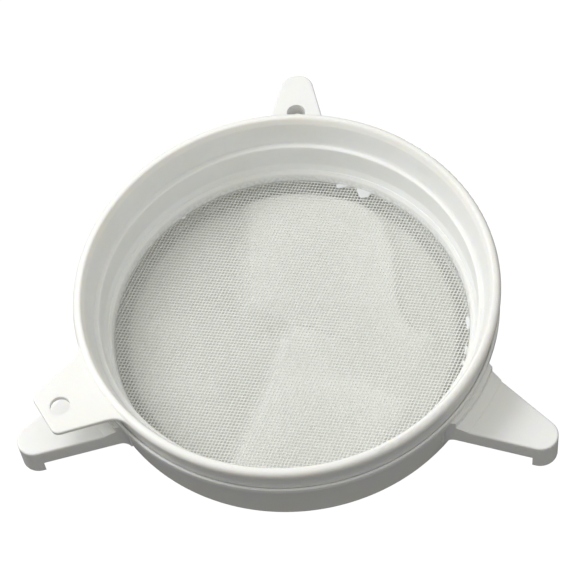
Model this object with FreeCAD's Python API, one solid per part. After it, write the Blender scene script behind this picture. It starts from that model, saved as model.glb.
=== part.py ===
import FreeCAD, Part
import math
import os

# Double sieve strainer for honey: a coarse net sieve nested in a fine cloth sieve whose three
# hooked arms hang on the rim of a bucket or settling tank.
# Millimetres. The Z axis is the axis of both bowls, with +Z up. The origin is the centre of the
# foot ring that the strainer stands on. One arm points along +Y.

# ---------------------------------------------------------------- driving sizes, coarse sieve
RIM_RADIUS = 122.5            # outside of the rolled rim
RIM_WIDTH = 4.6               # across the top of the rolled rim
RIM_BEVEL_WIDTH = 1.9         # steep slope from the rim's top down into the bowl
RIM_BEVEL_DEPTH = 3.6
RIM_ROLL_DEPTH = 6.5          # height of the roll, above the skirt
RIM_OUTER_ROUND = 3.0
RIM_INNER_ROUND = 1.5
SKIRT_STEP = 2.5              # how far the skirt stands in from the roll
SKIRT_HEIGHT = 20.75          # rim's top to the skirt's lower edge
COARSE_WALL = 1.8
BOWL_STEP_DEPTH = 18.0        # small step of the bowl, below the rim's top
BOWL_STEP_WIDTH = 3.3
UPPER_WALL_DRAFT = 3.0        # taper of the wall above the step
LOWER_WALL_DRAFT = 0.4        # taper of the wall below the step
CONE_HEIGHT = 6.0
CONE_WIDTH = 3.8
BAND_HEIGHT = 8.0             # band below the cone, which the net is moulded into
BAND_DRAFT = 1.2
GROOVE_SIZE = 0.5             # witness line round the cone
GROOVE_PLACE = 0.62           # its place down the cone, from 0 at the top to 1

# ---------------------------------------------------------------- driving sizes, handle tab
TAB_REACH = 34.0              # from the rim to the tab's straight end
TAB_END_HALF_WIDTH = 14.4
TAB_FLARE = 0.268             # widening per millimetre towards the rim
TAB_THICKNESS = 3.0
TAB_DROP = 1.4                # tab's top below the top of the rim
TAB_CORNER = 5.0
TAB_ROOT_ROUND = 12.0
TAB_EDGE_ROUND = 0.9
TAB_TURN = 1.9                # degrees that the coarse sieve stands turned past its arm

# ---------------------------------------------------------------- driving sizes, fine sieve
FINE_HEIGHT = 41.0            # foot to the lip's top
LIP_WALL = 1.65
LIP_HEIGHT = 3.7
LIP_STEP = 0.7                # how far the lip stands out from the wall
FINE_WALL = 2.2
WALL_DRAFT = 5.8              # taper of the tall outside wall, down to the foot
FOOT_WIDTH = 11.3             # from the wall in to the cloth's opening
FOOT_ROUND = 4.5
CLOTH_RING_HEIGHT = 3.8       # height of the foot ring that holds the cloth
SEAT_HEIGHT = 2.0             # seat ring that carries the coarse sieve
SEAT_DEPTH = 2.0              # its top below the lip
SEAT_CHAMFER = 1.5            # slope below the seat ring

# ---------------------------------------------------------------- driving sizes, arms
ARM_COUNT = 3
FIRST_ARM_ANGLE = 90.0
ARM_LENGTH = 54.4             # from the tall wall to the tip
ARM_TIP_RADIUS = 10.0
ARM_FLARE_ANGLE = 14.4        # degrees that each side opens towards the bowl
ARM_DROP = 11.0               # arm's top below the lip's top
ARM_PLATE = 2.6
ARM_SIDE_HEIGHT = 11.5
ARM_SIDE_WALL = 2.2
ARM_EDGE_ROUND = 1.1
ARM_ROOT_ROUND = 7.0
HOOK_HEIGHT = 19.5            # arm's top to the hook's lower edge
HOOK_DEPTH = 9.4              # from the tip to the face that grips the bucket
GUSSET_REACH = 10.5           # gusset's foot on the arm, from the tall wall
GUSSET_STEP = 0.5             # small step at the gusset's foot
GUSSET_FACE = 4.2             # its upright face, out from the tall wall
GUSSET_RISE = 2.5             # the face's lower edge above the arm
GUSSET_WALL = 2.2
RIB_WIDTH = 2.0
RIB_DEPTH = 6.5

# ---------------------------------------------------------------- driving sizes, hanging holes
HOLE_RADIUS = 5.7
HOLE_REACH = 22.9             # from the rim, the same in the tab and in the first arm
HOLE_COLLAR_WALL = 2.2

# ---------------------------------------------------------------- driving sizes, net and cloth
NET_THICKNESS = 0.6
NET_RISE = 2.0                # middle of the net above the band's lower edge
NET_COVER = 0.5               # wall left outside the net's buried edge
NET_GAP = 9.6                 # coarse moulding's lower edge above the cloth's edge
CLOTH_THICKNESS = 0.8
CLOTH_COVER = 1.4             # cloth's edge below the top of its ring
CLOTH_CROWN = 5.6             # slack cloth's rise at the middle
CLOTH_SHOULDER = 6.0          # flat margin of the cloth inside its ring
CLOTH_BITE = 2.6

# ---------------------------------------------------------------- clearances
NEST_CLEARANCE = 0.35         # skirt to lip, all round
SEAT_CLEARANCE = 0.25         # skirt to seat

# ---------------------------------------------------------------- rounds and making
SHARP_ROUND = 0.2             # inside corner left by the mould
SLIGHT_ROUND = 0.5            # broken edge of a moulding
SMALL_ROUND = 1.0
STEP_ROUND = 1.2
CORNER_ROUND = 1.5
SOFT_ROUND = 2.0
SINK = 1.0                    # how far a joined piece runs into its neighbour
OVERRUN = 5.0                 # how far a cutting shape runs past what it cuts

# ---------------------------------------------------------------- worked-out places
MOUTH_RADIUS = RIM_RADIUS - RIM_WIDTH
THROAT_RADIUS = MOUTH_RADIUS - RIM_BEVEL_WIDTH
STEP_OUTER_RADIUS = THROAT_RADIUS - UPPER_WALL_DRAFT
STEP_INNER_RADIUS = STEP_OUTER_RADIUS - BOWL_STEP_WIDTH
CONE_TOP_RADIUS = STEP_INNER_RADIUS - LOWER_WALL_DRAFT
CONE_BOTTOM_RADIUS = CONE_TOP_RADIUS - CONE_WIDTH
NET_OPENING_RADIUS = CONE_BOTTOM_RADIUS - BAND_DRAFT
SKIRT_RADIUS = RIM_RADIUS - SKIRT_STEP
LIP_INNER_RADIUS = SKIRT_RADIUS + NEST_CLEARANCE
LIP_RADIUS = LIP_INNER_RADIUS + LIP_WALL
WALL_TOP_RADIUS = LIP_RADIUS - LIP_STEP
WALL_BOTTOM_RADIUS = WALL_TOP_RADIUS - WALL_DRAFT
SEAT_INNER_RADIUS = SKIRT_RADIUS - COARSE_WALL
CLOTH_OPENING_RADIUS = WALL_BOTTOM_RADIUS - FOOT_WIDTH
NET_RADIUS = NET_OPENING_RADIUS + COARSE_WALL - NET_COVER
CLOTH_RADIUS = CLOTH_OPENING_RADIUS + CLOTH_BITE
TAB_END = RIM_RADIUS + TAB_REACH
HOLE_DISTANCE = RIM_RADIUS + HOLE_REACH

LIP_BOTTOM_Z = FINE_HEIGHT - LIP_HEIGHT
SEAT_TOP_Z = FINE_HEIGHT - SEAT_DEPTH
SEAT_BOTTOM_Z = SEAT_TOP_Z - SEAT_HEIGHT
SKIRT_BOTTOM_Z = SEAT_TOP_Z + SEAT_CLEARANCE
RIM_TOP_Z = SKIRT_BOTTOM_Z + SKIRT_HEIGHT
CLOTH_Z = CLOTH_RING_HEIGHT - CLOTH_COVER
BAND_BOTTOM_Z = CLOTH_Z + NET_GAP
NET_Z = BAND_BOTTOM_Z + NET_RISE
CONE_BOTTOM_Z = BAND_BOTTOM_Z + BAND_HEIGHT
CONE_TOP_Z = CONE_BOTTOM_Z + CONE_HEIGHT
BOWL_STEP_Z = RIM_TOP_Z - BOWL_STEP_DEPTH
TAB_TOP_Z = RIM_TOP_Z - TAB_DROP
ARM_TOP_Z = FINE_HEIGHT - ARM_DROP
ARM_UNDER_Z = ARM_TOP_Z - ARM_PLATE
ARM_SIDE_BOTTOM_Z = ARM_TOP_Z - ARM_SIDE_HEIGHT
HOOK_BOTTOM_Z = ARM_TOP_Z - HOOK_HEIGHT
COLLAR_BOTTOM_Z = ARM_UNDER_Z - RIB_DEPTH
THROAT_Z = RIM_TOP_Z - RIM_BEVEL_DEPTH
CHANNEL_TOP_Z = RIM_TOP_Z - RIM_ROLL_DEPTH

WALL_TAPER = WALL_DRAFT / LIP_BOTTOM_Z
ARM_ROOT_RADIUS = WALL_BOTTOM_RADIUS + WALL_TAPER * ARM_TOP_Z
ARM_BURY = WALL_TAPER * (ARM_TOP_Z - ARM_SIDE_BOTTOM_Z) + SINK
ARM_TIP = ARM_ROOT_RADIUS + ARM_LENGTH
HOOK_INNER = ARM_TIP - HOOK_DEPTH
GUSSET_FOOT = ARM_ROOT_RADIUS + GUSSET_REACH
GUSSET_FACE_RADIUS = ARM_ROOT_RADIUS + GUSSET_FACE

UP = FreeCAD.Vector(0, 0, 1)
CENTRE = FreeCAD.Vector(0, 0, 0)


def outline(corners):
    """Closed wire in the XY plane through (x, y, round) corners, each rounded by a tangent arc."""
    starts, middles, ends = [], [], []
    count = len(corners)
    for index, (x, y, radius) in enumerate(corners):
        here = FreeCAD.Vector(x, y, 0)
        before = FreeCAD.Vector(*corners[index - 1][:2], 0) - here
        after = FreeCAD.Vector(*corners[(index + 1) % count][:2], 0) - here
        before.normalize()
        after.normalize()
        half = before.getAngle(after) / 2
        if radius <= 0 or half > math.radians(89.5):
            starts.append(here)
            middles.append(None)
            ends.append(here)
            continue
        reach = radius / math.tan(half)
        inward = before + after
        inward.normalize()
        starts.append(here + before * reach)
        middles.append(here + inward * (radius / math.sin(half) - radius))
        ends.append(here + after * reach)
    edges = []
    for index in range(count):
        if middles[index] is not None:
            edges.append(Part.Arc(starts[index], middles[index], ends[index]).toShape())
        following = starts[(index + 1) % count]
        if (following - ends[index]).Length > 1e-6:
            edges.append(Part.LineSegment(ends[index], following).toShape())
    return Part.Wire(edges)


def turned(corners):
    """Solid of revolution about Z from (radius, height, round) corners."""
    face = Part.Face(outline(corners))
    face.rotate(CENTRE, FreeCAD.Vector(1, 0, 0), 90)
    return face.revolve(CENTRE, UP, 360)


def post(radius, bottom, top, x=0.0, y=0.0):
    """Upright cylinder."""
    return Part.makeCylinder(radius, top - bottom, FreeCAD.Vector(x, y, bottom))


def block(x_low, x_high, y_low, y_high, bottom, top):
    """Upright box between six limits."""
    corner = FreeCAD.Vector(x_low, y_low, bottom)
    return Part.makeBox(x_high - x_low, y_high - y_low, top - bottom, corner)


def edges_at(shape, height, tolerance=1e-4):
    """Edges that lie flat at one height."""
    found = []
    for edge in shape.Edges:
        box = edge.BoundBox
        if abs(box.ZMin - height) < tolerance and abs(box.ZMax - height) < tolerance:
            found.append(edge)
    return found


def at_angle(shape, angle):
    """Copy turned about the axis from its place along +X."""
    copy = shape.copy()
    copy.rotate(CENTRE, UP, angle)
    return copy


# ---------------------------------------------------------------- coarse sieve
def coarse_bowl():
    """Stepped bowl with its rolled rim, a channel that is open below."""
    groove_radius = CONE_TOP_RADIUS - CONE_WIDTH * GROOVE_PLACE
    groove_z = CONE_TOP_Z - (CONE_TOP_Z - CONE_BOTTOM_Z) * GROOVE_PLACE
    wall_share = (CHANNEL_TOP_Z - BOWL_STEP_Z) / (THROAT_Z - BOWL_STEP_Z)
    throat_back = STEP_OUTER_RADIUS + UPPER_WALL_DRAFT * wall_share + COARSE_WALL
    return turned([
        (NET_OPENING_RADIUS, BAND_BOTTOM_Z, SLIGHT_ROUND),
        (CONE_BOTTOM_RADIUS, CONE_BOTTOM_Z, SMALL_ROUND),
        (groove_radius, groove_z, SHARP_ROUND),
        (groove_radius + GROOVE_SIZE, groove_z, SHARP_ROUND / 2),
        (CONE_TOP_RADIUS, CONE_TOP_Z, SOFT_ROUND),
        (STEP_INNER_RADIUS, BOWL_STEP_Z, STEP_ROUND),
        (STEP_OUTER_RADIUS, BOWL_STEP_Z, STEP_ROUND),
        (THROAT_RADIUS, THROAT_Z, CORNER_ROUND),
        (MOUTH_RADIUS, RIM_TOP_Z, RIM_INNER_ROUND),
        (RIM_RADIUS, RIM_TOP_Z, RIM_OUTER_ROUND),
        (RIM_RADIUS, RIM_TOP_Z - RIM_ROLL_DEPTH, SKIRT_STEP * 0.75),
        (SKIRT_RADIUS, RIM_TOP_Z - RIM_ROLL_DEPTH, SHARP_ROUND),
        (SKIRT_RADIUS, SKIRT_BOTTOM_Z, SLIGHT_ROUND),
        (SKIRT_RADIUS - COARSE_WALL, SKIRT_BOTTOM_Z, SLIGHT_ROUND),
        (SKIRT_RADIUS - COARSE_WALL, CHANNEL_TOP_Z, SHARP_ROUND),
        (throat_back, CHANNEL_TOP_Z, SHARP_ROUND),
        (STEP_OUTER_RADIUS + COARSE_WALL, BOWL_STEP_Z - COARSE_WALL, STEP_ROUND),
        (STEP_INNER_RADIUS + COARSE_WALL, BOWL_STEP_Z - COARSE_WALL, STEP_ROUND),
        (CONE_TOP_RADIUS + COARSE_WALL, CONE_TOP_Z - COARSE_WALL / 2, SOFT_ROUND),
        (CONE_BOTTOM_RADIUS + COARSE_WALL, CONE_BOTTOM_Z - COARSE_WALL / 2, SMALL_ROUND),
        (NET_OPENING_RADIUS + COARSE_WALL, BAND_BOTTOM_Z, SLIGHT_ROUND),
    ])


def limb_plan(half_at_axis, flare, ring_radius, bury, root_round, nose):
    """Plan of a flared limb along +X: rounded roots on a ring, straight sides and a nose.

    The sides would be half_at_axis apart from the X axis at the Z axis. bury is how far the root
    runs into the ring. nose is the outer end's outline for +Y, a list of arcs as (start, middle,
    end), from the side inwards.
    """
    normal = FreeCAD.Vector(math.sin(flare), math.cos(flare), 0)
    along = FreeCAD.Vector(math.cos(flare), -math.sin(flare), 0)
    start = FreeCAD.Vector(0, half_at_axis, 0) + normal * root_round
    reach = ring_radius + root_round
    shift = start.dot(along)
    middle = start + along * (math.sqrt(shift ** 2 - start.dot(start) + reach ** 2) - shift)
    on_side = middle - normal * root_round
    on_ring = middle * (ring_radius / reach)
    towards = (on_side + on_ring) * 0.5 - middle
    towards.normalize()
    bend = middle + towards * root_round
    buried = on_ring * ((ring_radius - bury) / ring_radius)
    half = [Part.LineSegment(buried, on_ring), Part.Arc(on_ring, bend, on_side)]
    place = on_side
    for arc_start, arc_middle, arc_end in nose:
        half.append(Part.LineSegment(place, arc_start))
        half.append(Part.Arc(arc_start, arc_middle, arc_end))
        place = arc_end
    edges = [curve.toShape() for curve in half]
    if abs(place.y) > 1e-6:
        edges.append(Part.LineSegment(place, FreeCAD.Vector(place.x, 0, 0)).toShape())
    mirrored = [edge.mirror(CENTRE, FreeCAD.Vector(0, 1, 0)) for edge in edges]
    closing = Part.LineSegment(buried, FreeCAD.Vector(buried.x, -buried.y, 0)).toShape()
    return Part.Wire(Part.__sortEdges__(edges + mirrored + [closing]))


def upright(wire, bottom, top):
    """Upright solid of a plan wire between two heights."""
    solid = Part.Face(wire).extrude(UP * (top - bottom))
    solid.translate(UP * bottom)
    return solid


def outer_edges(shape, height, radius):
    """Flat edges at one height whose middle lies outside a radius."""
    found = []
    for edge in edges_at(shape, height):
        middle = edge.valueAt((edge.FirstParameter + edge.LastParameter) / 2)
        if math.hypot(middle.x, middle.y) > radius:
            found.append(edge)
    return found


def tab_nose(flare):
    """Rounded corner of the tab's straight end, as one arc."""
    end_half = TAB_END_HALF_WIDTH
    reach = TAB_CORNER * math.tan((math.pi / 2 - flare) / 2)
    corner = FreeCAD.Vector(TAB_END, end_half, 0)
    back = FreeCAD.Vector(-math.cos(flare), math.sin(flare), 0)
    arc_start = corner + back * reach
    arc_end = corner - FreeCAD.Vector(0, reach, 0)
    middle = arc_end - FreeCAD.Vector(TAB_CORNER, 0, 0)
    towards = corner - middle
    towards.normalize()
    return [(arc_start, middle + towards * TAB_CORNER, arc_end)]


def coarse_tab():
    """Handle tab along +X with its hanging hole, before it joins the rim."""
    top = TAB_TOP_Z
    bottom = top - TAB_THICKNESS
    flare = math.atan(TAB_FLARE)
    half_at_axis = TAB_END_HALF_WIDTH + TAB_END * TAB_FLARE
    plan = limb_plan(half_at_axis, flare, RIM_RADIUS, SINK, TAB_ROOT_ROUND, tab_nose(flare))
    tab = upright(plan, bottom, top)
    rounded = outer_edges(tab, top, RIM_RADIUS) + outer_edges(tab, bottom, RIM_RADIUS)
    tab = tab.makeFillet(TAB_EDGE_ROUND, rounded)
    return tab.cut(post(HOLE_RADIUS, bottom - OVERRUN, top + OVERRUN, HOLE_DISTANCE))


def coarse_frame():
    """Coarse sieve's moulding: bowl, rolled rim and handle tab in one piece."""
    tab_angle = FIRST_ARM_ANGLE + 360.0 / ARM_COUNT + TAB_TURN
    frame = coarse_bowl().fuse(at_angle(coarse_tab(), tab_angle))
    frame = frame.cut(coarse_net())
    return frame.removeSplitter()


def coarse_net():
    """Flat disc that the knitted net fills, out to its moulded edge."""
    return post(NET_RADIUS, NET_Z - NET_THICKNESS / 2, NET_Z + NET_THICKNESS / 2)


# ---------------------------------------------------------------- fine sieve
def fine_bowl():
    """Tall tapered wall with its lip and seat, and the foot ring that holds the cloth."""
    return turned([
        (CLOTH_OPENING_RADIUS, 0, SLIGHT_ROUND),
        (CLOTH_OPENING_RADIUS, CLOTH_RING_HEIGHT, SLIGHT_ROUND),
        (WALL_BOTTOM_RADIUS - FINE_WALL, CLOTH_RING_HEIGHT, SOFT_ROUND),
        (WALL_TOP_RADIUS - FINE_WALL, SEAT_BOTTOM_Z - SEAT_CHAMFER, SHARP_ROUND),
        (SEAT_INNER_RADIUS, SEAT_BOTTOM_Z, SHARP_ROUND),
        (SEAT_INNER_RADIUS, SEAT_TOP_Z, SHARP_ROUND),
        (LIP_INNER_RADIUS, SEAT_TOP_Z, SHARP_ROUND),
        (LIP_INNER_RADIUS, FINE_HEIGHT, LIP_WALL * 0.3),
        (LIP_RADIUS, FINE_HEIGHT, LIP_WALL * 0.4),
        (LIP_RADIUS, LIP_BOTTOM_Z, LIP_STEP * 0.6),
        (WALL_TOP_RADIUS, LIP_BOTTOM_Z, LIP_STEP * 0.25),
        (WALL_BOTTOM_RADIUS, 0, FOOT_ROUND),
    ])


def arm_half_width(distance, inset=0.0):
    """Half width of an arm's straight sides at a distance from the axis."""
    flare = math.radians(ARM_FLARE_ANGLE)
    tip_centre = ARM_TIP - ARM_TIP_RADIUS
    return (ARM_TIP_RADIUS - inset) / math.cos(flare) + (tip_centre - distance) * math.tan(flare)


def arm_slab(inset, bottom, top):
    """Upright solid of the arm's plan, drawn in by an inset, between two heights."""
    flare = math.radians(ARM_FLARE_ANGLE)
    radius = ARM_TIP_RADIUS - inset
    tip_centre = ARM_TIP - ARM_TIP_RADIUS
    touch = FreeCAD.Vector(tip_centre + radius * math.sin(flare), radius * math.cos(flare), 0)
    bend_angle = (math.pi / 2 - flare) / 2
    bend = FreeCAD.Vector(tip_centre + radius * math.cos(bend_angle),
                          radius * math.sin(bend_angle), 0)
    tip = FreeCAD.Vector(tip_centre + radius, 0, 0)
    plan = limb_plan(arm_half_width(0, inset), flare, ARM_ROOT_RADIUS, ARM_BURY,
                     ARM_ROOT_ROUND + inset, [(touch, bend, tip)])
    return upright(plan, bottom, top)


def gusset(inset, bottom):
    """Sloping step round the tall wall on the arm's root, all its faces drawn in by an inset."""
    root = WALL_BOTTOM_RADIUS - FINE_WALL
    ring = turned([
        (root, bottom, 0),
        (GUSSET_FOOT - inset, bottom, 0),
        (GUSSET_FOOT - inset, ARM_TOP_Z + GUSSET_STEP - inset, 0),
        (GUSSET_FACE_RADIUS - inset, ARM_TOP_Z + GUSSET_RISE - inset, 0),
        (GUSSET_FACE_RADIUS - inset, LIP_BOTTOM_Z - inset, 0),
        (root, LIP_BOTTOM_Z - inset, 0),
    ])
    return arm_slab(inset, bottom, LIP_BOTTOM_Z).common(ring)


def plain_arm():
    """One hooked arm along +X: a plate on turned-down sides with a rib, open below."""
    root = WALL_BOTTOM_RADIUS - FINE_WALL
    below = HOOK_BOTTOM_Z - OVERRUN
    outer = arm_slab(0, HOOK_BOTTOM_Z, ARM_TOP_Z)
    outer = outer.makeFillet(ARM_EDGE_ROUND, outer_edges(outer, ARM_TOP_Z, ARM_ROOT_RADIUS))
    # the side walls stop above the hook, which keeps its full height at the tip
    side = ARM_TIP / 2
    outer = outer.cut(block(0, HOOK_INNER, -side, side, below, ARM_SIDE_BOTTOM_Z))
    outer = outer.fuse(gusset(0, ARM_TOP_Z - 2 * SINK))
    hollow = arm_slab(ARM_SIDE_WALL, below, ARM_UNDER_Z)
    pocket = gusset(GUSSET_WALL, ARM_UNDER_Z - SINK)
    solid = outer.cut(hollow).cut(pocket)
    rib = block(root, ARM_TIP - ARM_SIDE_WALL / 2, -RIB_WIDTH / 2, RIB_WIDTH / 2,
                COLLAR_BOTTOM_Z, ARM_UNDER_Z + SINK)
    return solid.fuse(rib)


def hanging_arm(plain):
    """Arm with a hanging hole in a collar as deep as the rib, which runs up to it."""
    collar_radius = HOLE_RADIUS + HOLE_COLLAR_WALL
    collar = post(collar_radius, COLLAR_BOTTOM_Z, ARM_UNDER_Z + SINK, HOLE_DISTANCE)
    return plain.fuse(collar).cut(post(HOLE_RADIUS, 0, RIM_TOP_Z, HOLE_DISTANCE))


def fine_frame():
    """Fine sieve's moulding: bowl and three hooked arms in one piece."""
    inside = turned([
        (0, -OVERRUN, 0),
        (WALL_BOTTOM_RADIUS - SINK, -OVERRUN, 0),
        (WALL_BOTTOM_RADIUS - SINK, 0, 0),
        (WALL_TOP_RADIUS - SINK, LIP_BOTTOM_Z, 0),
        (WALL_TOP_RADIUS - SINK, FINE_HEIGHT + SINK, 0),
        (0, FINE_HEIGHT + SINK, 0),
    ])
    plain = plain_arm().cut(inside)
    frame = fine_bowl().fuse(at_angle(hanging_arm(plain), FIRST_ARM_ANGLE))
    for index in range(1, ARM_COUNT):
        frame = frame.fuse(at_angle(plain, FIRST_ARM_ANGLE + index * 360.0 / ARM_COUNT))
    frame = frame.cut(fine_cloth())
    return frame.removeSplitter()


def fine_cloth():
    """Plain dish that stands for the slack cloth, out to its moulded edge."""
    low = CLOTH_Z - CLOTH_THICKNESS / 2
    high = CLOTH_Z + CLOTH_THICKNESS / 2
    shoulder = CLOTH_OPENING_RADIUS - CLOTH_SHOULDER
    crown_radius = shoulder * 0.7
    crown_round = shoulder * 0.6
    shoulder_round = shoulder * 0.2
    return turned([
        (0, low + CLOTH_CROWN, 0),
        (crown_radius, low + CLOTH_CROWN, crown_round),
        (shoulder, low, shoulder_round),
        (CLOTH_RADIUS, low, 0),
        (CLOTH_RADIUS, high, 0),
        (shoulder, high, shoulder_round),
        (crown_radius, high + CLOTH_CROWN, crown_round),
        (0, high + CLOTH_CROWN, 0),
    ])


NODES = {
    "coarse_sieve_frame": coarse_frame,
    "coarse_net": coarse_net,
    "fine_sieve_frame": fine_frame,
    "fine_cloth": fine_cloth,
}

os.makedirs("parts", exist_ok=True)
for node, make in NODES.items():
    shape = make()
    print(node, "valid" if shape.isValid() else "INVALID", len(shape.Solids), "solid",
          round(shape.Volume / 1000, 2), "cm3")
    shape.exportStep("parts/" + node + ".step")
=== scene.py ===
"""Looks of a double sieve strainer for honey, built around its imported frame.

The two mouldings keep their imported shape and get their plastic. The coarse net, the slack fine
cloth and the slivers of moulding flash are modelled here. Lengths in the classes are in
millimetres and become metres where a mesh is made; the scene itself is in metres.
"""
from __future__ import annotations

import logging
import math
from dataclasses import dataclass
from enum import Enum

import bpy
import numpy as np
from mathutils import Matrix, Vector

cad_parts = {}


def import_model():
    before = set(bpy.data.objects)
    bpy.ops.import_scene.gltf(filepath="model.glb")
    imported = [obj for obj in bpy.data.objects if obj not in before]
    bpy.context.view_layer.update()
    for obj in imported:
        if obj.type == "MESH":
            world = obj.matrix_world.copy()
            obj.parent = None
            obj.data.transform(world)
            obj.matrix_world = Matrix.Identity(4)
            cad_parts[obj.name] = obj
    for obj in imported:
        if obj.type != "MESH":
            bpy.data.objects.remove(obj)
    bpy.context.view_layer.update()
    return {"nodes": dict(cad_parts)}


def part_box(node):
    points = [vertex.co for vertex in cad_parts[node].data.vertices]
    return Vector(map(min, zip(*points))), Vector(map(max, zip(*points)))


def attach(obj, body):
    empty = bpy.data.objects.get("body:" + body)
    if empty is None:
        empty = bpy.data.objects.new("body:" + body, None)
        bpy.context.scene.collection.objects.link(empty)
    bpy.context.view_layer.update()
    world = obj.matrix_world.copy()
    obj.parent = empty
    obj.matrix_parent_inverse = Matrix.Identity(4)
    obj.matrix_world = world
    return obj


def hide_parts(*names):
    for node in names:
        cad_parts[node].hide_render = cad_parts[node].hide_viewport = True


log = logging.getLogger("strainer")

MM = 0.001

Colour = tuple[float, float, float, float]


class Sieve(Enum):
    """The two bodies that come apart by hand."""

    COARSE = "coarse_sieve"
    FINE = "fine_sieve"


class Slot(Enum):
    """Material slots of the record."""

    PLASTIC = "white_polypropylene"
    NET = "coarse_nylon_net"
    CLOTH = "fine_nylon_cloth"


# ------------------------------------------------------------------ small helpers
def linear(code: str) -> Colour:
    """Turn an sRGB hex colour into linear light.

    Args:
        code: colour as "#RRGGBB".

    Returns:
        Linear red, green, blue and an alpha of 1.
    """
    channels = []
    for start in (1, 3, 5):
        value = int(code[start:start + 2], 16) / 255
        channels.append(value / 12.92 if value <= 0.04045 else ((value + 0.055) / 1.055) ** 2.4)
    return (channels[0], channels[1], channels[2], 1.0)


def add_node(tree: bpy.types.NodeTree, kind: str, inputs: dict | None = None,
             **settings: object) -> bpy.types.Node:
    """Add a node with its settings and links.

    Args:
        tree: node tree that gets the node.
        kind: Blender's name of the node type.
        inputs: value or output socket for each input, by the input's name or number.
        settings: the node's own attributes.

    Returns:
        The new node.
    """
    node = tree.nodes.new(kind)
    for name, value in settings.items():
        setattr(node, name, value)
    for key, value in (inputs or {}).items():
        if isinstance(value, bpy.types.NodeSocket):
            tree.links.new(value, node.inputs[key])
        else:
            node.inputs[key].default_value = value
    return node


def new_material(name: str) -> tuple[bpy.types.Material, bpy.types.NodeTree]:
    """Make an empty node material.

    Args:
        name: the material's name.

    Returns:
        The material and its node tree, which holds only an output.
    """
    material = bpy.data.materials.new(name)
    material.use_nodes = True
    material.node_tree.nodes.clear()
    add_node(material.node_tree, "ShaderNodeOutputMaterial", name="out")
    return material, material.node_tree


def finish_material(tree: bpy.types.NodeTree, shader: bpy.types.Node) -> None:
    """Link a shader to the tree's output."""
    tree.links.new(shader.outputs[0], tree.nodes["out"].inputs["Surface"])


def set_material(piece: bpy.types.Object, material: bpy.types.Material) -> None:
    """Give a piece one material all over."""
    piece.data.materials.clear()
    piece.data.materials.append(material)


def deselect() -> None:
    """Leave nothing selected."""
    bpy.ops.object.select_all(action="DESELECT")


def points_of(mesh: bpy.types.Mesh) -> np.ndarray:
    """Read a mesh's vertices as an array of points."""
    flat = np.empty(len(mesh.vertices) * 3)
    mesh.vertices.foreach_get("co", flat)
    return flat.reshape(-1, 3)


def put_points(mesh: bpy.types.Mesh, points: np.ndarray) -> None:
    """Write an array of points to a mesh's vertices."""
    mesh.vertices.foreach_set("co", points.ravel())
    mesh.update()


def pick_vertices(mesh: bpy.types.Mesh, chosen: np.ndarray) -> None:
    """Select just the vertices that an array of truth values marks, and what lies between them.

    Args:
        mesh: mesh in object mode.
        chosen: one truth value per vertex.
    """
    mesh.vertices.foreach_set("select", chosen)
    ends = np.empty(len(mesh.edges) * 2, dtype=int)
    mesh.edges.foreach_get("vertices", ends)
    mesh.edges.foreach_set("select", chosen[ends.reshape(-1, 2)].all(axis=1))
    for face in mesh.polygons:
        face.select = all(chosen[index] for index in face.vertices)


# ------------------------------------------------------------------ finishes
MIX_A, MIX_B, MIX_RESULT = 6, 7, 2


@dataclass(frozen=True)
class Polypropylene:
    """White polypropylene, injection moulded, satin.

    To the eye it is a soft white with a faint yellow warmth where it is thick, a low sheen, and
    very slight clouding along the flow of the melt.
    """

    name: str
    body: str = "#FAFAF6"
    cloud: str = "#F5F5F0"
    roughness: float = 0.36
    roughness_spread: float = 0.10
    ior: float = 1.49
    glow_depth: float = 3.4          # mm that light travels in the plastic
    glow_share: float = 0.5
    cloud_size: float = 38.0         # mm
    grain_size: float = 0.55         # mm, coarser than the mould's real 0.1 mm so that it shows
    grain_height: float = 0.012      # mm

    def shade(self, tree: bpy.types.NodeTree) -> bpy.types.NodeSocket:
        """Build the clouded body colour.

        Args:
            tree: the material's node tree.

        Returns:
            The colour output.
        """
        place = add_node(tree, "ShaderNodeTexCoord").outputs["Object"]
        cloud = add_node(tree, "ShaderNodeTexNoise",
                         {"Vector": place, "Scale": 1 / (self.cloud_size * MM), "Detail": 3.0})
        spread = add_node(tree, "ShaderNodeMapRange",
                          {"Value": cloud.outputs["Fac"], "From Min": 0.35, "From Max": 0.7})
        mix = add_node(tree, "ShaderNodeMix",
                       {0: spread.outputs[0], MIX_A: linear(self.body), MIX_B: linear(self.cloud)},
                       data_type="RGBA")
        return mix.outputs[MIX_RESULT]

    def make(self) -> bpy.types.Material:
        """Make the material."""
        material, tree = new_material(self.name)
        place = add_node(tree, "ShaderNodeTexCoord").outputs["Object"]
        grain = add_node(tree, "ShaderNodeTexNoise",
                         {"Vector": place, "Scale": 1 / (self.grain_size * MM), "Detail": 2.0})
        bump = add_node(tree, "ShaderNodeBump",
                        {"Height": grain.outputs["Fac"], "Distance": self.grain_height * MM,
                         "Strength": 1.0})
        sheen = add_node(tree, "ShaderNodeTexNoise",
                         {"Vector": place, "Scale": 1 / (self.cloud_size * MM / 4), "Detail": 4.0})
        rough = add_node(tree, "ShaderNodeMapRange",
                         {"Value": sheen.outputs["Fac"], "From Min": 0.3, "From Max": 0.7,
                          "To Min": self.roughness - self.roughness_spread / 2,
                          "To Max": self.roughness + self.roughness_spread / 2})
        shader = add_node(tree, "ShaderNodeBsdfPrincipled",
                          {"Base Color": self.shade(tree), "Roughness": rough.outputs[0],
                           "IOR": self.ior, "Normal": bump.outputs[0],
                           "Subsurface Weight": self.glow_share,
                           "Subsurface Radius": (1.0, 0.84, 0.55),
                           "Subsurface Scale": self.glow_depth * MM})
        finish_material(tree, shader)
        return material


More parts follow.
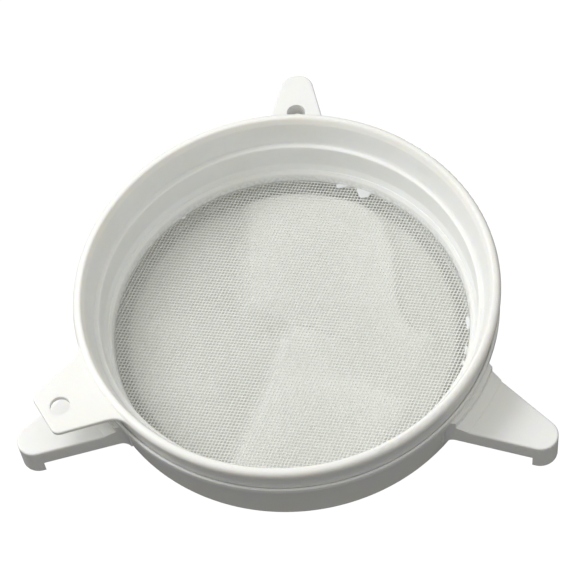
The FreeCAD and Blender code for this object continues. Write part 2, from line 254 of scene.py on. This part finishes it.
@dataclass(frozen=True)
class NetPolypropylene(Polypropylene):
    """The same plastic round the net, whose buried strands show as whiter flecks in the band."""

    fleck: str = "#F9F9F6"
    between: str = "#E9E9E4"
    fleck_pitch: float = 2.2         # mm, about the net's own pitch
    band_low: float = 12.4           # mm above the foot
    band_high: float = 19.6
    band_radius: float = 106.2       # mm, the band's inside face lies within it
    low_fade: float = 0.5            # mm over which the flecks die away below, above and outward
    high_fade: float = 3.0
    outward_fade: float = 0.4

    def shade(self, tree: bpy.types.NodeTree) -> bpy.types.NodeSocket:
        """Build the body colour with the flecks of the buried net.

        Args:
            tree: the material's node tree.

        Returns:
            The colour output.
        """
        body = super().shade(tree)
        place = add_node(tree, "ShaderNodeTexCoord").outputs["Object"]
        axes = add_node(tree, "ShaderNodeSeparateXYZ", {0: place}).outputs
        turn = add_node(tree, "ShaderNodeMath", {0: axes["Y"], 1: axes["X"]},
                        operation="ARCTAN2").outputs[0]
        around = add_node(tree, "ShaderNodeMath", {0: turn, 1: self.band_radius / self.fleck_pitch},
                          operation="MULTIPLY").outputs[0]
        height = add_node(tree, "ShaderNodeMath", {0: axes["Z"], 1: 1 / (self.fleck_pitch * MM)},
                          operation="MULTIPLY").outputs[0]
        spot = add_node(tree, "ShaderNodeCombineXYZ", {"X": around, "Y": height}).outputs[0]
        cells = add_node(tree, "ShaderNodeTexVoronoi", {"Vector": spot, "Scale": 1.0},
                         voronoi_dimensions="2D")
        fleck = add_node(tree, "ShaderNodeMapRange",
                         {"Value": cells.outputs["Distance"], "From Min": 0.2, "From Max": 0.75,
                          "To Min": 1.0, "To Max": 0.0})
        tint = add_node(tree, "ShaderNodeMix",
                        {0: fleck.outputs[0], MIX_A: linear(self.between),
                         MIX_B: linear(self.fleck)}, data_type="RGBA").outputs[MIX_RESULT]
        flat = add_node(tree, "ShaderNodeCombineXYZ", {"X": axes["X"], "Y": axes["Y"]}).outputs[0]
        radius = add_node(tree, "ShaderNodeVectorMath", {0: flat}, operation="LENGTH")
        inside = add_node(tree, "ShaderNodeMapRange",
                          {"Value": radius.outputs["Value"],
                           "From Min": (self.band_radius - self.outward_fade) * MM,
                           "From Max": self.band_radius * MM, "To Min": 1.0, "To Max": 0.0})
        low = add_node(tree, "ShaderNodeMapRange",
                       {"Value": axes["Z"], "From Min": (self.band_low - self.low_fade) * MM,
                        "From Max": self.band_low * MM})
        high = add_node(tree, "ShaderNodeMapRange",
                        {"Value": axes["Z"], "From Min": (self.band_high - self.high_fade) * MM,
                         "From Max": self.band_high * MM, "To Min": 1.0, "To Max": 0.0})
        band = add_node(tree, "ShaderNodeMath", {0: low.outputs[0], 1: high.outputs[0]},
                        operation="MULTIPLY")
        band = add_node(tree, "ShaderNodeMath", {0: band.outputs[0], 1: inside.outputs[0]},
                        operation="MULTIPLY")
        mix = add_node(tree, "ShaderNodeMix", {0: band.outputs[0], MIX_A: body, MIX_B: tint},
                       data_type="RGBA")
        return mix.outputs[MIX_RESULT]


@dataclass(frozen=True)
class NetNylon:
    """White nylon strand, knitted and heat set: a satin thread, a little cloudy and greenish."""

    name: str = "nylon_net_strand"
    body: str = "#F9FAF7"
    worn: str = "#EFF1EC"
    roughness: float = 0.42
    ior: float = 1.53
    cloud_size: float = 26.0         # mm
    fibre_size: float = 0.35         # mm, coarser than a real filament so that it shows
    fibre_height: float = 0.03       # mm

    def make(self) -> bpy.types.Material:
        """Make the material."""
        material, tree = new_material(self.name)
        place = add_node(tree, "ShaderNodeTexCoord").outputs["Object"]
        cloud = add_node(tree, "ShaderNodeTexNoise",
                         {"Vector": place, "Scale": 1 / (self.cloud_size * MM), "Detail": 4.0})
        colour = add_node(tree, "ShaderNodeMix",
                          {0: cloud.outputs["Fac"], MIX_A: linear(self.body),
                           MIX_B: linear(self.worn)}, data_type="RGBA")
        fibre = add_node(tree, "ShaderNodeTexNoise",
                         {"Vector": place, "Scale": 1 / (self.fibre_size * MM), "Detail": 1.0})
        bump = add_node(tree, "ShaderNodeBump",
                        {"Height": fibre.outputs["Fac"], "Distance": self.fibre_height * MM})
        rough = add_node(tree, "ShaderNodeMapRange",
                         {"Value": fibre.outputs["Fac"], "To Min": self.roughness - 0.08,
                          "To Max": self.roughness + 0.08})
        shader = add_node(tree, "ShaderNodeBsdfPrincipled",
                          {"Base Color": colour.outputs[MIX_RESULT], "IOR": self.ior,
                           "Roughness": rough.outputs[0], "Normal": bump.outputs[0],
                           "Sheen Weight": 0.15, "Sheen Roughness": 0.4})
        finish_material(tree, shader)
        return material


@dataclass(frozen=True)
class BoltingCloth:
    """White nylon bolting cloth, plain woven: a matt, faintly see-through weave, with painted shade
    on its threads where it lies low.

    The threads really lie 0.25 mm apart, too fine to show, so they are drawn at thread_pitch.
    """

    name: str = "nylon_bolting_cloth"
    thread: str = "#FAFBF8"
    gap: str = "#E2E4DE"
    painted_deep_shade: str = "#D2D4CE"       # painted shade: threads that lie deep are drawn darker, as if less light comes back
    deep_z: float = 3.5              # mm above the foot
    high_z: float = 12.0
    roughness: float = 0.55
    ior: float = 1.53
    thread_pitch: float = 0.9        # mm, coarser than the real weave so that it shows
    thread_height: float = 0.06      # mm
    see_through: float = 0.10

    def make(self) -> bpy.types.Material:
        """Make the material on the cloth's own flat map, which is in metres."""
        material, tree = new_material(self.name)
        flat = add_node(tree, "ShaderNodeUVMap", uv_map="cut").outputs[0]
        axes = add_node(tree, "ShaderNodeSeparateXYZ", {0: flat}).outputs
        waves = []
        for axis in ("X", "Y"):
            turns = add_node(tree, "ShaderNodeMath",
                             {0: axes[axis], 1: 2 * math.pi / (self.thread_pitch * MM)},
                             operation="MULTIPLY")
            wave = add_node(tree, "ShaderNodeMath", {0: turns.outputs[0]}, operation="SINE")
            waves.append(add_node(tree, "ShaderNodeMath", {0: wave.outputs[0]},
                                  operation="ABSOLUTE").outputs[0])
        weave = add_node(tree, "ShaderNodeMath", {0: waves[0], 1: waves[1]}, operation="MAXIMUM")
        height = add_node(tree, "ShaderNodeMapRange",
                          {"Value": weave.outputs[0], "From Min": 0.3, "From Max": 0.8})
        place = add_node(tree, "ShaderNodeTexCoord").outputs["Object"]
        upright = add_node(tree, "ShaderNodeSeparateXYZ", {0: place}).outputs["Z"]
        # painted shade: the thread colour runs from the painted deep shade at deep_z to the clean
        # thread colour at high_z
        painted_light_share = add_node(tree, "ShaderNodeMapRange",
                          {"Value": upright, "From Min": self.deep_z * MM,
                           "From Max": self.high_z * MM})
        thread = add_node(tree, "ShaderNodeMix",
                          {0: painted_light_share.outputs[0], MIX_A: linear(self.painted_deep_shade),
                           MIX_B: linear(self.thread)}, data_type="RGBA")
        colour = add_node(tree, "ShaderNodeMix",
                          {0: height.outputs[0], MIX_A: linear(self.gap),
                           MIX_B: thread.outputs[MIX_RESULT]}, data_type="RGBA")
        bump = add_node(tree, "ShaderNodeBump",
                        {"Height": height.outputs[0], "Distance": self.thread_height * MM,
                         "Strength": 0.5})
        alpha = add_node(tree, "ShaderNodeMapRange",
                         {"Value": height.outputs[0], "To Min": 1 - 4 * self.see_through,
                          "To Max": 1.0})
        shader = add_node(tree, "ShaderNodeBsdfPrincipled",
                          {"Base Color": colour.outputs[MIX_RESULT], "IOR": self.ior,
                           "Roughness": self.roughness, "Normal": bump.outputs[0],
                           "Alpha": alpha.outputs[0], "Sheen Weight": 0.2,
                           "Sheen Roughness": 0.5})
        finish_material(tree, shader)
        return material


@dataclass(frozen=True)
class WhiteTable:
    """Matt white table top under the strainer, lit from inside so that it stays pale."""

    name: str = "white_table"
    shade: str = "#FFFFFF"
    own_light: float = 1.0
    lit_shade: str = "#505050"       # what the lamps see of it
    roughness: float = 0.9

    def make(self) -> bpy.types.Material:
        """Make the material."""
        material, tree = new_material(self.name)
        shader = add_node(tree, "ShaderNodeBsdfPrincipled",
                          {"Base Color": linear(self.lit_shade), "Roughness": self.roughness,
                           "Specular IOR Level": 0.0,
                           "Emission Color": linear(self.shade),
                           "Emission Strength": self.own_light})
        finish_material(tree, shader)
        return material


# ------------------------------------------------------------------ the two mouldings
@dataclass
class Mouldings:
    """The strainer's two injection mouldings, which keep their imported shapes."""

    coarse_node: str = "coarse_sieve_frame"
    fine_node: str = "fine_sieve_frame"

    def dress(self, nodes: dict[str, bpy.types.Object]) -> None:
        """Give both mouldings their plastic.

        Args:
            nodes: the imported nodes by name.
        """
        set_material(nodes[self.coarse_node], NetPolypropylene("coarse_sieve_plastic").make())
        set_material(nodes[self.fine_node], Polypropylene("fine_sieve_plastic").make())
        log.info("%s and %s: packed shapes in polypropylene", self.coarse_node, self.fine_node)


# ------------------------------------------------------------------ coarse net
@dataclass
class CoarseNet:
    """Knitted net of the coarse sieve: one diamond mesh repeated, and cut round to its edge."""

    node: str = "coarse_net"
    first_step: tuple[float, float] = (1.981, -0.234)    # mm from a mesh to its neighbour
    second_step: tuple[float, float] = (0.759, 1.917)
    strand: float = 0.64             # mm across a strand
    cover: float = 0.2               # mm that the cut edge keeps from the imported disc's edge
    trim_sides: int = 36
    trim_band: float = 4.0           # mm in from the edge that the cuts work on
    weld: float = 0.02               # mm, strands' ends this close become one
    start_radius: float = 1.5        # mm, of the square that becomes a diamond

    def one_mesh(self, middle: float, rise: float) -> bpy.types.Object:
        """Model one diamond: four half strands round a hole, sloping up to the strand's crest.

        Args:
            middle: height of the net's middle, in metres.
            rise: half the strand's thickness, in metres.

        Returns:
            The diamond at the lattice's origin.
        """
        bpy.ops.mesh.primitive_circle_add(vertices=4, radius=self.start_radius * MM,
                                          fill_type="NGON", location=(0, 0, middle + rise))
        piece = bpy.context.object
        piece.name = "coarse_net_strands"
        bpy.ops.object.transform_apply(location=True, rotation=True, scale=True)
        first = Vector((*self.first_step, 0)) * MM
        second = Vector((*self.second_step, 0)) * MM
        corners = [Vector((0, 0, 0)), first, first + second, second]
        order = sorted(piece.data.vertices, key=lambda v: math.atan2(v.co.y, v.co.x))
        for vertex, corner in zip(order, corners):
            vertex.co = corner + Vector((0, 0, middle + rise))
        bpy.ops.object.mode_set(mode="EDIT")
        bpy.ops.mesh.select_mode(type="FACE")
        bpy.ops.mesh.select_all(action="SELECT")
        bpy.ops.mesh.normals_make_consistent(inside=False)
        bpy.ops.mesh.inset(thickness=self.strand / 2 * MM, depth=-rise)
        bpy.ops.mesh.delete(type="ONLY_FACE")
        bpy.ops.object.mode_set(mode="OBJECT")
        hole = points_of(piece.data)[:, 2] < middle + rise / 2
        pick_vertices(piece.data, hole)
        bpy.ops.object.mode_set(mode="EDIT")
        bpy.ops.mesh.select_mode(type="EDGE")
        bpy.ops.mesh.extrude_edges_move(TRANSFORM_OT_translate={"value": (0, 0, -rise)})
        bpy.ops.object.mode_set(mode="OBJECT")
        points = points_of(piece.data)
        under = points[:, 2] < middle - rise / 2
        for index in np.nonzero(under)[0]:
            nearest = min(corners, key=lambda c: (points[index][0] - c.x) ** 2
                          + (points[index][1] - c.y) ** 2)
            points[index][:2] = nearest.x, nearest.y
        put_points(piece.data, points)
        return piece

    def repeat(self, piece: bpy.types.Object, reach: float) -> None:
        """Repeat the diamond both ways over the whole opening.

        Args:
            piece: the single diamond.
            reach: the net's radius in metres.
        """
        first = np.array(self.first_step) * MM
        second = np.array(self.second_step) * MM
        area = abs(first[0] * second[1] - first[1] * second[0])
        first_half = math.ceil(reach * np.linalg.norm(second) / area)
        second_half = math.ceil(reach * np.linalg.norm(first) / area)
        for step, half in ((first, first_half), (second, second_half)):
            array = piece.modifiers.new("repeat", "ARRAY")
            array.use_relative_offset = False
            array.use_constant_offset = True
            array.constant_offset_displace = (step[0], step[1], 0)
            array.count = 2 * half
            bpy.ops.object.modifier_apply(modifier=array.name)
        start = -first * first_half - second * second_half
        piece.data.transform(Matrix.Translation((start[0], start[1], 0)))

    def trim(self, piece: bpy.types.Object, reach: float) -> None:
        """Cut the net round, one straight cut after another.

        Args:
            piece: the repeated net.
            reach: the net's radius in metres.
        """
        points = points_of(piece.data)
        far = np.hypot(points[:, 0], points[:, 1]) > reach - self.trim_band * MM
        pick_vertices(piece.data, far)
        bpy.ops.object.mode_set(mode="EDIT")
        bpy.ops.mesh.select_mode(type="VERT")
        bpy.ops.object.mode_set(mode="OBJECT")
        pick_vertices(piece.data, far)
        bpy.ops.object.mode_set(mode="EDIT")
        for side in range(self.trim_sides):
            turn = 2 * math.pi * side / self.trim_sides
            outward = (math.cos(turn), math.sin(turn), 0)
            bpy.ops.mesh.bisect(plane_co=(outward[0] * reach, outward[1] * reach, 0),
                                plane_no=outward, clear_outer=True)
            bpy.ops.mesh.select_all(action="SELECT")
        bpy.ops.mesh.remove_doubles(threshold=self.weld * MM)
        bpy.ops.mesh.select_all(action="SELECT")
        bpy.ops.mesh.fill_holes(sides=8)
        bpy.ops.mesh.normals_make_consistent(inside=False)
        bpy.ops.object.mode_set(mode="OBJECT")

    def build(self) -> bpy.types.Object:
        """Model the whole net and let it stand for its packed disc.

        Returns:
            The finished net.
        """
        low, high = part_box(self.node)
        reach = high.x - self.cover * MM
        deselect()
        piece = self.one_mesh((low.z + high.z) / 2, (high.z - low.z) / 2)
        self.repeat(piece, reach)
        self.trim(piece, reach)
        bpy.ops.object.shade_smooth()
        set_material(piece, NetNylon().make())
        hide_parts(self.node)
        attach(piece, Sieve.COARSE.value)
        log.info("%s: %d faces", piece.name, len(piece.data.polygons))
        return piece


# ------------------------------------------------------------------ fine cloth
@dataclass(frozen=True)
class Crease:
    """One fold line of the slack cloth, through points in millimetres from the axis.

    The height on each side runs back to the cloth's own level over that side's reach.
    """

    line: tuple[tuple[float, float], ...]
    height: float                    # mm at the line, above the cloth's level
    left_reach: float                # mm, on the left of the line's direction
    right_reach: float
    end_fade: float = 14.0           # mm over which each end dies away

    def lift(self, x: np.ndarray, y: np.ndarray) -> np.ndarray:
        """Height that the fold adds at each point, in millimetres.

        Args:
            x: places along X in millimetres.
            y: places along Y in millimetres.

        Returns:
            The added height in millimetres.
        """
        best = np.full(x.shape, np.inf)
        signed = np.zeros(x.shape)
        along = np.zeros(x.shape)
        run = 0.0
        for (x0, y0), (x1, y1) in zip(self.line[:-1], self.line[1:]):
            length = math.hypot(x1 - x0, y1 - y0)
            ux, uy = (x1 - x0) / length, (y1 - y0) / length
            place = np.clip((x - x0) * ux + (y - y0) * uy, 0, length)
            gap = np.hypot(x - x0 - ux * place, y - y0 - uy * place)
            side = (y - y0) * ux - (x - x0) * uy
            nearer = gap < best
            best = np.where(nearer, gap, best)
            signed = np.where(nearer, side, signed)
            along = np.where(nearer, run + place, along)
            run += length
        reach = np.where(signed > 0, self.left_reach, self.right_reach)
        fade = np.clip(np.minimum(along, run - along) / self.end_fade, 0, 1)
        fade = fade * fade * (3 - 2 * fade)
        return self.height * fade * np.exp(-best / reach)


@dataclass(frozen=True)
class Ripple:
    """One family of shallow waves over the whole cloth, in millimetres and radians."""

    height: float
    lean: float                      # share of Y that turns the waves
    across: float
    across_shift: float
    along: float
    along_shift: float

    def lift(self, x: np.ndarray, y: np.ndarray) -> np.ndarray:
        """Height that the waves add at each point, in millimetres.

        Args:
            x: places along X in millimetres.
            y: places along Y in millimetres.

        Returns:
            The added height in millimetres.
        """
        return (self.height * np.sin((x + self.lean * y) / self.across + self.across_shift)
                * np.cos(y / self.along + self.along_shift))


@dataclass
class FineCloth:
    """Slack woven cloth of the fine sieve, held round its edge and folded in the middle."""

    node: str = "fine_cloth"
    around: int = 224
    rings: int = 84
    edge_inset: float = 0.3          # mm that the cloth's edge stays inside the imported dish
    edge_lift: float = 0.4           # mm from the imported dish's underside to the cloth
    held_edge: float = 3.0           # mm at the edge that stays down in the ring
    margin: float = 8.0              # mm over which the cloth rises from the ring
    level: float = 4.6               # mm that the slack middle stands above its edge
    creases: tuple[Crease, ...] = (
        Crease(((-38, 104), (-37, 55), (-34, 8)), -2.8, 5.0, 24.0),
        Crease(((-27, 104), (-26, 55), (-24, 8)), 4.4, 45.0, 4.0),
        Crease(((-3, 10), (-17, -30), (-34, -76), (-41, -94)), -4.0, 4.0, 16.0, 6.0),
        Crease(((6, 6), (-8, -32), (-25, -76), (-32, -94)), 5.4, 26.0, 3.0, 6.0),
        Crease(((-8, 6), (-3, -10), (13, -24), (52, -42), (76, -58)), 5.2, 4.0, 18.0),
        Crease(((-24, 100), (10, 97), (37, 90), (52, 76), (59, 52), (61, 19), (68, 0), (93, -10)),
               5.0, 3.5, 26.0),
        Crease(((-90, 10), (-60, 2), (-44, -2)), 2.0, 7.0, 9.0),
        Crease(((-92, -30), (-60, -34), (-30, -40)), 1.8, 6.0, 8.0),
    )
    ripples: tuple[Ripple, ...] = (
        Ripple(0.35, 0.0, 17.0, 0.8, 23.0, 0.0),
        Ripple(0.15, 0.6, 6.5, 0.0, 41.0, 0.4),
    )
    ceiling: float = 10.6            # mm above the edge, just under the net

    def height(self, x: np.ndarray, y: np.ndarray, radius: float) -> np.ndarray:
        """Height of the cloth above its edge, in millimetres.

        Args:
            x: places along X in millimetres.
            y: places along Y in millimetres.
            radius: the cloth's radius in millimetres.

        Returns:
            The height in millimetres.
        """
        inward = np.clip((radius - self.held_edge - np.hypot(x, y)) / self.margin, 0, 1)
        hold = inward * inward * (3 - 2 * inward)
        slack = np.full(x.shape, self.level)
        for wave in (*self.ripples, *self.creases):
            slack += wave.lift(x, y)
        slack = self.ceiling - np.logaddexp(0, self.ceiling - slack)
        return slack * hold

    def build(self) -> bpy.types.Object:
        """Lay the cloth and let it stand for its packed dish.

        Returns:
            The finished cloth.
        """
        low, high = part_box(self.node)
        radius = high.x / MM - self.edge_inset
        edge_z = low.z / MM + self.edge_lift
        deselect()
        bpy.ops.mesh.primitive_circle_add(vertices=self.around, radius=radius * MM,
                                          fill_type="NGON", location=(0, 0, edge_z * MM))
        piece = bpy.context.object
        piece.name = "fine_cloth_weave"
        bpy.ops.object.transform_apply(location=True, rotation=True, scale=True)
        bpy.ops.object.mode_set(mode="EDIT")
        bpy.ops.mesh.select_mode(type="FACE")
        bpy.ops.mesh.select_all(action="SELECT")
        for _ in range(self.rings - 1):
            bpy.ops.mesh.inset(thickness=radius * MM / self.rings)
        bpy.ops.mesh.poke()
        bpy.ops.mesh.select_all(action="SELECT")
        bpy.ops.mesh.normals_make_consistent(inside=False)
        bpy.ops.object.mode_set(mode="OBJECT")
        points = points_of(piece.data)
        self.map_cut(piece.data, points)
        x, y = points[:, 0] / MM, points[:, 1] / MM
        points[:, 2] = (edge_z + self.height(x, y, radius)) * MM
        put_points(piece.data, points)
        bpy.ops.object.shade_smooth()
        set_material(piece, BoltingCloth().make())
        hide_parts(self.node)
        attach(piece, Sieve.FINE.value)
        log.info("%s: %d faces, %.1f to %.1f mm high", piece.name, len(piece.data.polygons),
                 points[:, 2].min() / MM, points[:, 2].max() / MM)
        return piece

    @staticmethod
    def map_cut(mesh: bpy.types.Mesh, points: np.ndarray) -> None:
        """Map the flat cut in metres, so that the weave follows the cloth.

        Args:
            mesh: the flat cloth's mesh.
            points: its vertices before they are lifted.
        """
        layer = mesh.uv_layers.new(name="cut")
        corner = np.empty(len(mesh.loops), dtype=int)
        mesh.loops.foreach_get("vertex_index", corner)
        layer.data.foreach_set("uv", points[corner][:, :2].ravel())


# ------------------------------------------------------------------ moulding flash
@dataclass(frozen=True)
class Sliver:
    """One tongue of flash on the net: where it lies round the band, and its size."""

    angle: float                     # degrees round the axis
    length: float                    # mm along the band
    width: float                     # mm in from the band
    lean: float = 0.0                # how much thicker one end is


@dataclass
class MouldingFlash:
    """Thin tongues of plastic that ran out over the net's edge when the bowl was moulded."""

    slivers: tuple[Sliver, ...] = (
        Sliver(66.4, 13.0, 4.2, 0.5),
        Sliver(74.2, 9.0, 2.4, -0.3),
        Sliver(0.4, 8.5, 2.4, 0.3),
        Sliver(349.8, 5.5, 1.8, 0.0),
        Sliver(344.9, 3.2, 1.9, 0.0),
        Sliver(309.5, 9.0, 4.4, -0.4),
        Sliver(131.0, 5.0, 1.2, 0.2),
    )
    thickness: float = 0.9           # mm at the middle
    band_radius: float = 104.5       # mm, the band's inside face
    net_top: float = 14.3            # mm above the foot
    swell: float = 0.22              # share by which the tongue's edge goes in and out
    fray: float = 0.12               # the same for the smaller, quicker waves of the edge

    def one(self, index: int, sliver: Sliver) -> bpy.types.Object:
        """Model one tongue: a flattened, uneven drop that runs out of the band.

        Args:
            index: number of the tongue, which sets its uneven edge.
            sliver: its place and size.

        Returns:
            The tongue in place.
        """
        bpy.ops.mesh.primitive_uv_sphere_add(segments=28, ring_count=12, radius=MM)
        piece = bpy.context.object
        points = points_of(piece.data) / MM
        turn = np.arctan2(points[:, 1], points[:, 0])
        uneven = (1 + self.swell * np.sin(3 * turn + index)
                  + self.fray * np.sin(7 * turn + 2.3 * index))
        lean = 1 + sliver.lean * points[:, 0]
        points[:, 0] *= uneven * sliver.length / 2
        points[:, 1] *= uneven * lean * sliver.width
        points[:, 2] *= self.thickness / 2
        put_points(piece.data, points * MM)
        turn_in = math.radians(sliver.angle - 90)
        place = Matrix.Rotation(turn_in, 4, "Z") @ Matrix.Translation(
            (0, self.band_radius * MM, (self.net_top + self.thickness / 4) * MM))
        piece.data.transform(place)
        return piece

    def build(self) -> bpy.types.Object:
        """Model every tongue as one piece of the coarse moulding.

        Returns:
            The joined flash.
        """
        deselect()
        made = [self.one(index, sliver) for index, sliver in enumerate(self.slivers)]
        for piece in made:
            piece.select_set(True)
        bpy.context.view_layer.objects.active = made[0]
        bpy.ops.object.join()
        piece = bpy.context.object
        piece.name = "moulding_flash"
        bpy.ops.object.shade_smooth()
        set_material(piece, Polypropylene("flash_plastic", body="#FAFAF6", cloud="#F2F1EB").make())
        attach(piece, Sieve.COARSE.value)
        log.info("%s: %d tongues", piece.name, len(self.slivers))
        return piece


# ------------------------------------------------------------------ studio
@dataclass
class Studio:
    """White table, soft light from above and from the left, and the camera."""

    look_at: tuple[float, float, float] = (1.28, -2.89, 60.0)   # mm, in the camera's own heading
    heading: float = 8.6             # degrees that the camera stands turned about the strainer
    elevation: float = 57.17
    roll: float = -8.21
    distance: float = 1200.0         # mm
    lens: float = 131.8              # mm
    sensor_width: float = 36.0       # mm
    far_clip: float = 30.0           # m
    table_radius: float = 6.0        # m
    table_gap: float = 0.2           # mm that the table lies below the foot
    horizon: float = 0.13            # light of the room, level and below
    zenith: float = 0.86             # light of the room, straight above
    ambient_shade: str = "#FFFEFA"
    key_power: float = 16.0
    key_size: float = 0.9            # m
    key_turn: float = 150.0          # degrees, in the camera's own heading
    key_height: float = 47.0         # degrees
    key_distance: float = 1.7        # m

    def turned(self, vector: Vector) -> Vector:
        """Turn a vector from the camera's heading to the strainer's own axes."""
        return Matrix.Rotation(math.radians(self.heading), 3, "Z") @ vector

    def add_table(self) -> None:
        """Lay the table that the strainer stands on."""
        deselect()
        bpy.ops.mesh.primitive_circle_add(vertices=96, radius=self.table_radius,
                                          fill_type="NGON", location=(0, 0, -self.table_gap * MM))
        table = bpy.context.object
        table.name = "table"
        set_material(table, WhiteTable().make())
        table.visible_diffuse = False
        table.visible_glossy = False

    def add_light(self) -> None:
        """Set the even light of the room and the large soft lamp."""
        world = bpy.data.worlds.new("room")
        bpy.context.scene.world = world
        world.use_nodes = True
        tree = world.node_tree
        tree.nodes.clear()
        facing = add_node(tree, "ShaderNodeTexCoord").outputs["Generated"]
        height = add_node(tree, "ShaderNodeSeparateXYZ", {0: facing}).outputs["Z"]
        level = add_node(tree, "ShaderNodeMapRange",
                         {"Value": height, "To Min": self.horizon, "To Max": self.zenith})
        even = add_node(tree, "ShaderNodeBackground",
                        {"Color": linear(self.ambient_shade), "Strength": level.outputs[0]})
        seen = add_node(tree, "ShaderNodeBackground", {"Color": linear("#FFFFFF")})
        path = add_node(tree, "ShaderNodeLightPath")
        mix = add_node(tree, "ShaderNodeMixShader",
                       {0: path.outputs["Is Camera Ray"], 1: even.outputs[0],
                        2: seen.outputs[0]})
        add_node(tree, "ShaderNodeOutputWorld", {"Surface": mix.outputs[0]})
        turn, rise = math.radians(self.key_turn), math.radians(self.key_height)
        towards = Vector((math.cos(rise) * math.cos(turn), math.cos(rise) * math.sin(turn),
                          math.sin(rise)))
        towards = self.turned(towards)
        lamp = bpy.data.lights.new("key", "AREA")
        lamp.shape = "DISK"
        lamp.size = self.key_size
        lamp.energy = self.key_power
        key = bpy.data.objects.new("key", lamp)
        bpy.context.scene.collection.objects.link(key)
        key.location = towards * self.key_distance
        key.rotation_euler = towards.to_track_quat("Z", "Y").to_euler()

    def add_camera(self) -> None:
        """Place the camera."""
        rise = math.radians(self.elevation)
        roll = math.radians(self.roll)
        target = Vector(self.look_at) * MM
        back = Vector((0, -math.cos(rise), math.sin(rise)))
        side = Vector((1, 0, 0))
        above = side.cross(-back)
        right = side * math.cos(roll) + above * math.sin(roll)
        upward = above * math.cos(roll) - side * math.sin(roll)
        place = self.turned(target + back * self.distance * MM)
        axes = Matrix([self.turned(v) for v in (right, upward, back)]).transposed()
        camera = bpy.data.objects.new("camera", bpy.data.cameras.new("camera"))
        bpy.context.scene.collection.objects.link(camera)
        camera.matrix_world = Matrix.Translation(place) @ axes.to_4x4()
        camera.data.lens = self.lens
        camera.data.sensor_width = self.sensor_width
        camera.data.clip_end = self.far_clip
        bpy.context.scene.camera = camera

    def build(self) -> None:
        """Set up the table, the light and the camera."""
        self.add_table()
        self.add_light()
        self.add_camera()
        bpy.context.scene.view_settings.view_transform = "Standard"
        log.info("studio: table, lamp and camera")


def main() -> None:
    """Build the strainer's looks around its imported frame."""
    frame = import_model()
    Mouldings().dress(frame["nodes"])
    CoarseNet().build()
    FineCloth().build()
    MouldingFlash().build()
    Studio().build()


if __name__ == "__main__":
    logging.basicConfig(level=logging.INFO, format="%(relativeCreated)d ms: %(message)s")
    main()
